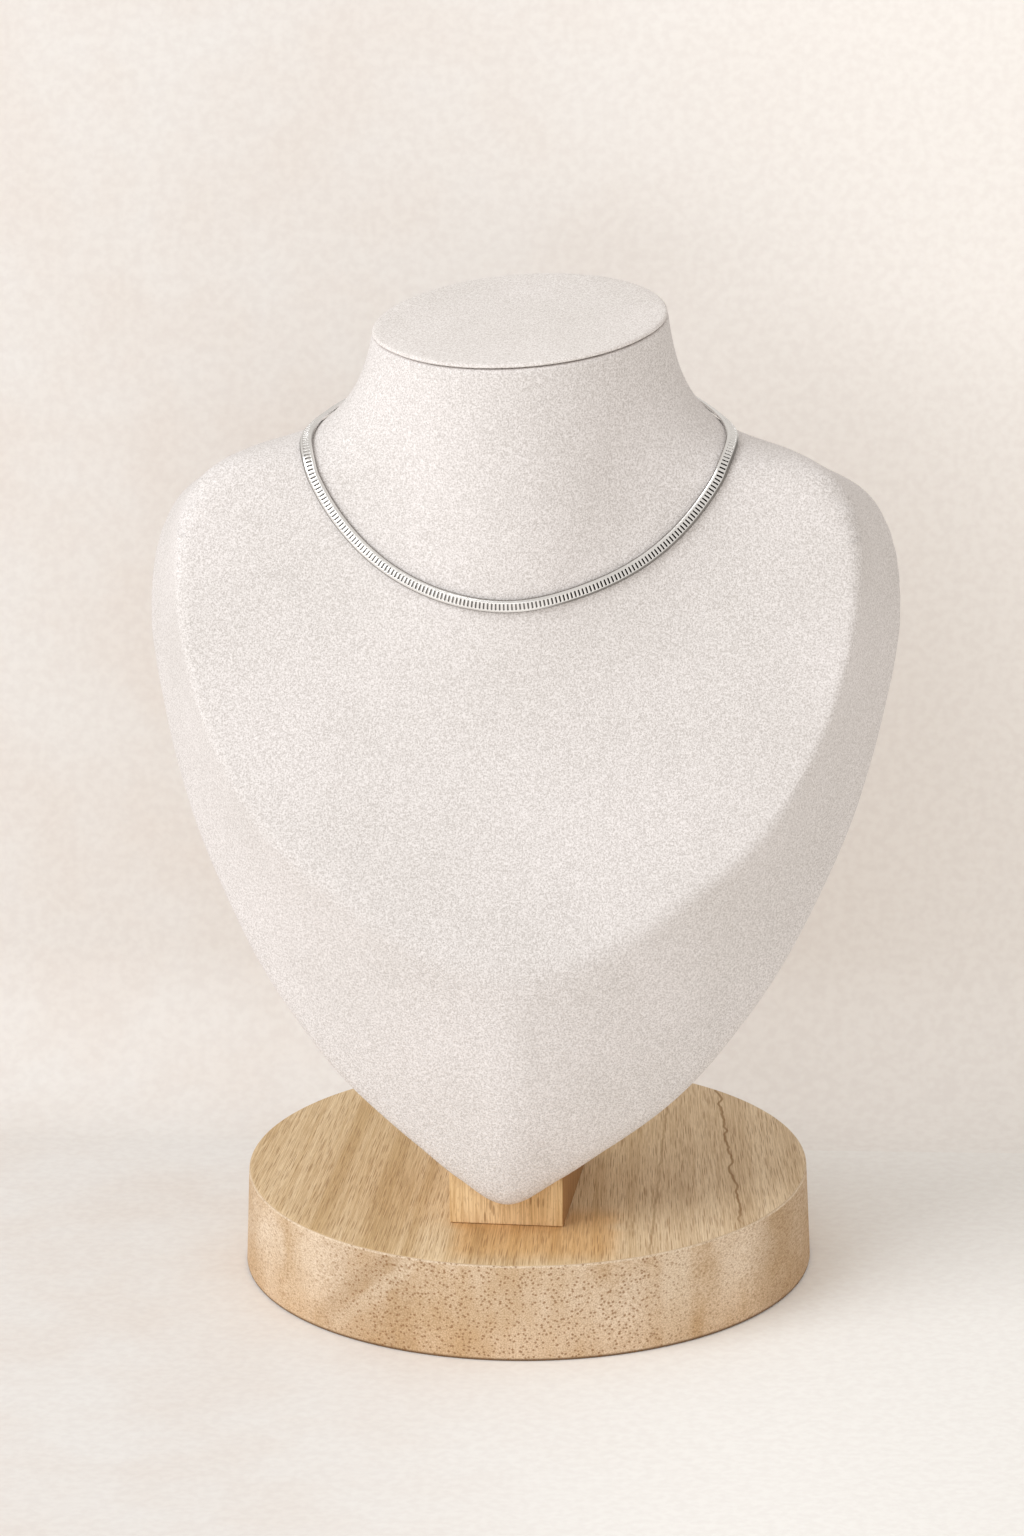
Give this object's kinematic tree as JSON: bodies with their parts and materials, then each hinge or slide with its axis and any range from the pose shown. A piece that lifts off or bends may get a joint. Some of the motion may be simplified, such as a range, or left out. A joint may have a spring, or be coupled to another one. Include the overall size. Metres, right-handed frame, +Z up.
{
  "type": "herringbone chain on a neck bust",
  "caption": "Flat close-linked silver herringbone chain, closed at the nape, worn on a velvet-covered neck bust with a wooden post and a round base.",
  "frame": {"origin": "middle of the round base's underside", "axes": "+Z up, the bust and the chain's front face -Y, +X to the right seen from the front"},
  "size_m": [0.2384, 0.183, 0.3179],
  "materials": {
    "chain_silver": "polished silver",
    "velvet": "short-napped warm grey velvet",
    "wood": "light open-pored wood, matt"
  },
  "bodies": {
    "root": {"base": "wood", "post": "wood", "bust_form": "velvet", "neck_cap": "velvet", "chain_band": "chain_silver", "clasp": "chain_silver"}
  },
  "joints": []
}
